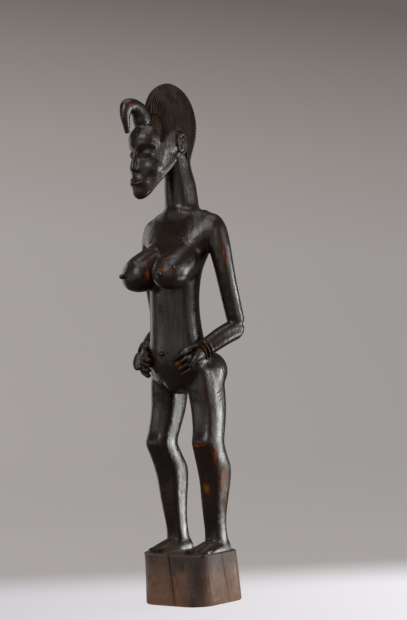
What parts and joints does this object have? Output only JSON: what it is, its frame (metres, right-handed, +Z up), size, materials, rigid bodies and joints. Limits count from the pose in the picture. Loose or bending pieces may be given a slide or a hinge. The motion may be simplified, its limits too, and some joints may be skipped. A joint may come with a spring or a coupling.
{
  "type": "standing wooden statue",
  "caption": "Carved dark wood statue of a standing woman with a tall fluted hair crest, on a low rounded block, made to stand on a shelf or plinth.",
  "frame": {"origin": "centre of the flat underside of the carved block that the figure stands on", "axes": "+Z up, the figure faces -Y, its left hand is at +X"},
  "size_m": [0.2094, 0.2102, 0.9432],
  "materials": {
    "carved_wood": "dark rubbed patina, glossy on the high parts"
  },
  "bodies": {
    "root": {"carved_figure": "carved_wood"}
  },
  "joints": []
}
